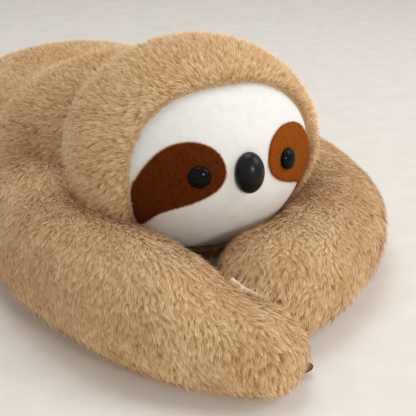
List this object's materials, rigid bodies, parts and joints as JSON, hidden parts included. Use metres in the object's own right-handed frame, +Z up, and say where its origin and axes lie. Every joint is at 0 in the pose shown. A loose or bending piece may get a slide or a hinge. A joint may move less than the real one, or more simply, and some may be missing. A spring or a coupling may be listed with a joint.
{
  "type": "weighted plush sloth",
  "caption": "Weighted plush sloth lying on its belly, with long stuffed arms stretched out in front of its chin, button eyes, an oval nose and bead pouches inside.",
  "frame": {"origin": "on the ground under the middle of the toy's bounding box", "axes": "+Z up, the face looks along -Y, the toy's left side is +X"},
  "size_m": [0.4544, 0.8248, 0.239],
  "materials": {
    "tan_fur": "long pile fur",
    "white_plush": "short pile",
    "brown_plush": "short pile",
    "eye": "gloss",
    "nose": "satin",
    "washer": "matte",
    "fibre_filling": "loose fibre",
    "pouch_cloth": "plain weave",
    "satin_tab": "satin"
  },
  "bodies": {
    "torso": {"belly_panel": "tan_fur", "back_panel": "tan_fur", "body_filling": "fibre_filling", "weight_pouch_chest": "pouch_cloth", "weight_pouch_middle": "pouch_cloth", "weight_pouch_rump": "pouch_cloth"},
    "head": {"head_hood": "tan_fur", "face_panel": "white_plush", "head_filling": "fibre_filling", "eye_patch_left": "brown_plush", "eye_patch_right": "brown_plush", "eye_left": "eye", "eye_right": "eye", "eye_left_washer": "washer", "eye_right_washer": "washer", "nose": "nose", "nose_washer": "washer"},
    "arm_right": {"arm_right": "tan_fur", "arm_right_claw_1": "brown_plush", "arm_right_claw_2": "brown_plush", "arm_right_claw_3": "brown_plush", "side_tab": "satin_tab"},
    "arm_left": {"arm_left": "tan_fur", "arm_left_claw_1": "brown_plush", "arm_left_claw_2": "brown_plush", "arm_left_claw_3": "brown_plush"},
    "leg_right": {"leg_right": "tan_fur", "leg_right_claw_1": "brown_plush", "leg_right_claw_2": "brown_plush", "leg_right_claw_3": "brown_plush"},
    "leg_left": {"leg_left": "tan_fur", "leg_left_claw_1": "brown_plush", "leg_left_claw_2": "brown_plush", "leg_left_claw_3": "brown_plush"}
  },
  "joints": [
    {"name": "neck_nod", "type": "hinge", "parent": "torso", "child": "head", "pos_m": [0, -0.15575, 0.137], "axis": [1, 0, 0], "range_deg": [-12, 12]},
    {"name": "shoulder_right_swing", "type": "hinge", "parent": "torso", "child": "arm_right", "pos_m": [-0.132, 0.00225, 0.045], "axis": [0, 0, -1], "range_deg": [0, 40]},
    {"name": "shoulder_left_swing", "type": "hinge", "parent": "torso", "child": "arm_left", "pos_m": [0.132, 0.00225, 0.045], "axis": [0, 0, 1], "range_deg": [0, 40]},
    {"name": "hip_right_swing", "type": "hinge", "parent": "torso", "child": "leg_right", "pos_m": [-0.106, 0.24225, 0.043], "axis": [0, 0, 1], "range_deg": [-15, 15]},
    {"name": "hip_left_swing", "type": "hinge", "parent": "torso", "child": "leg_left", "pos_m": [0.106, 0.24225, 0.043], "axis": [0, 0, -1], "range_deg": [-15, 15]}
  ]
}
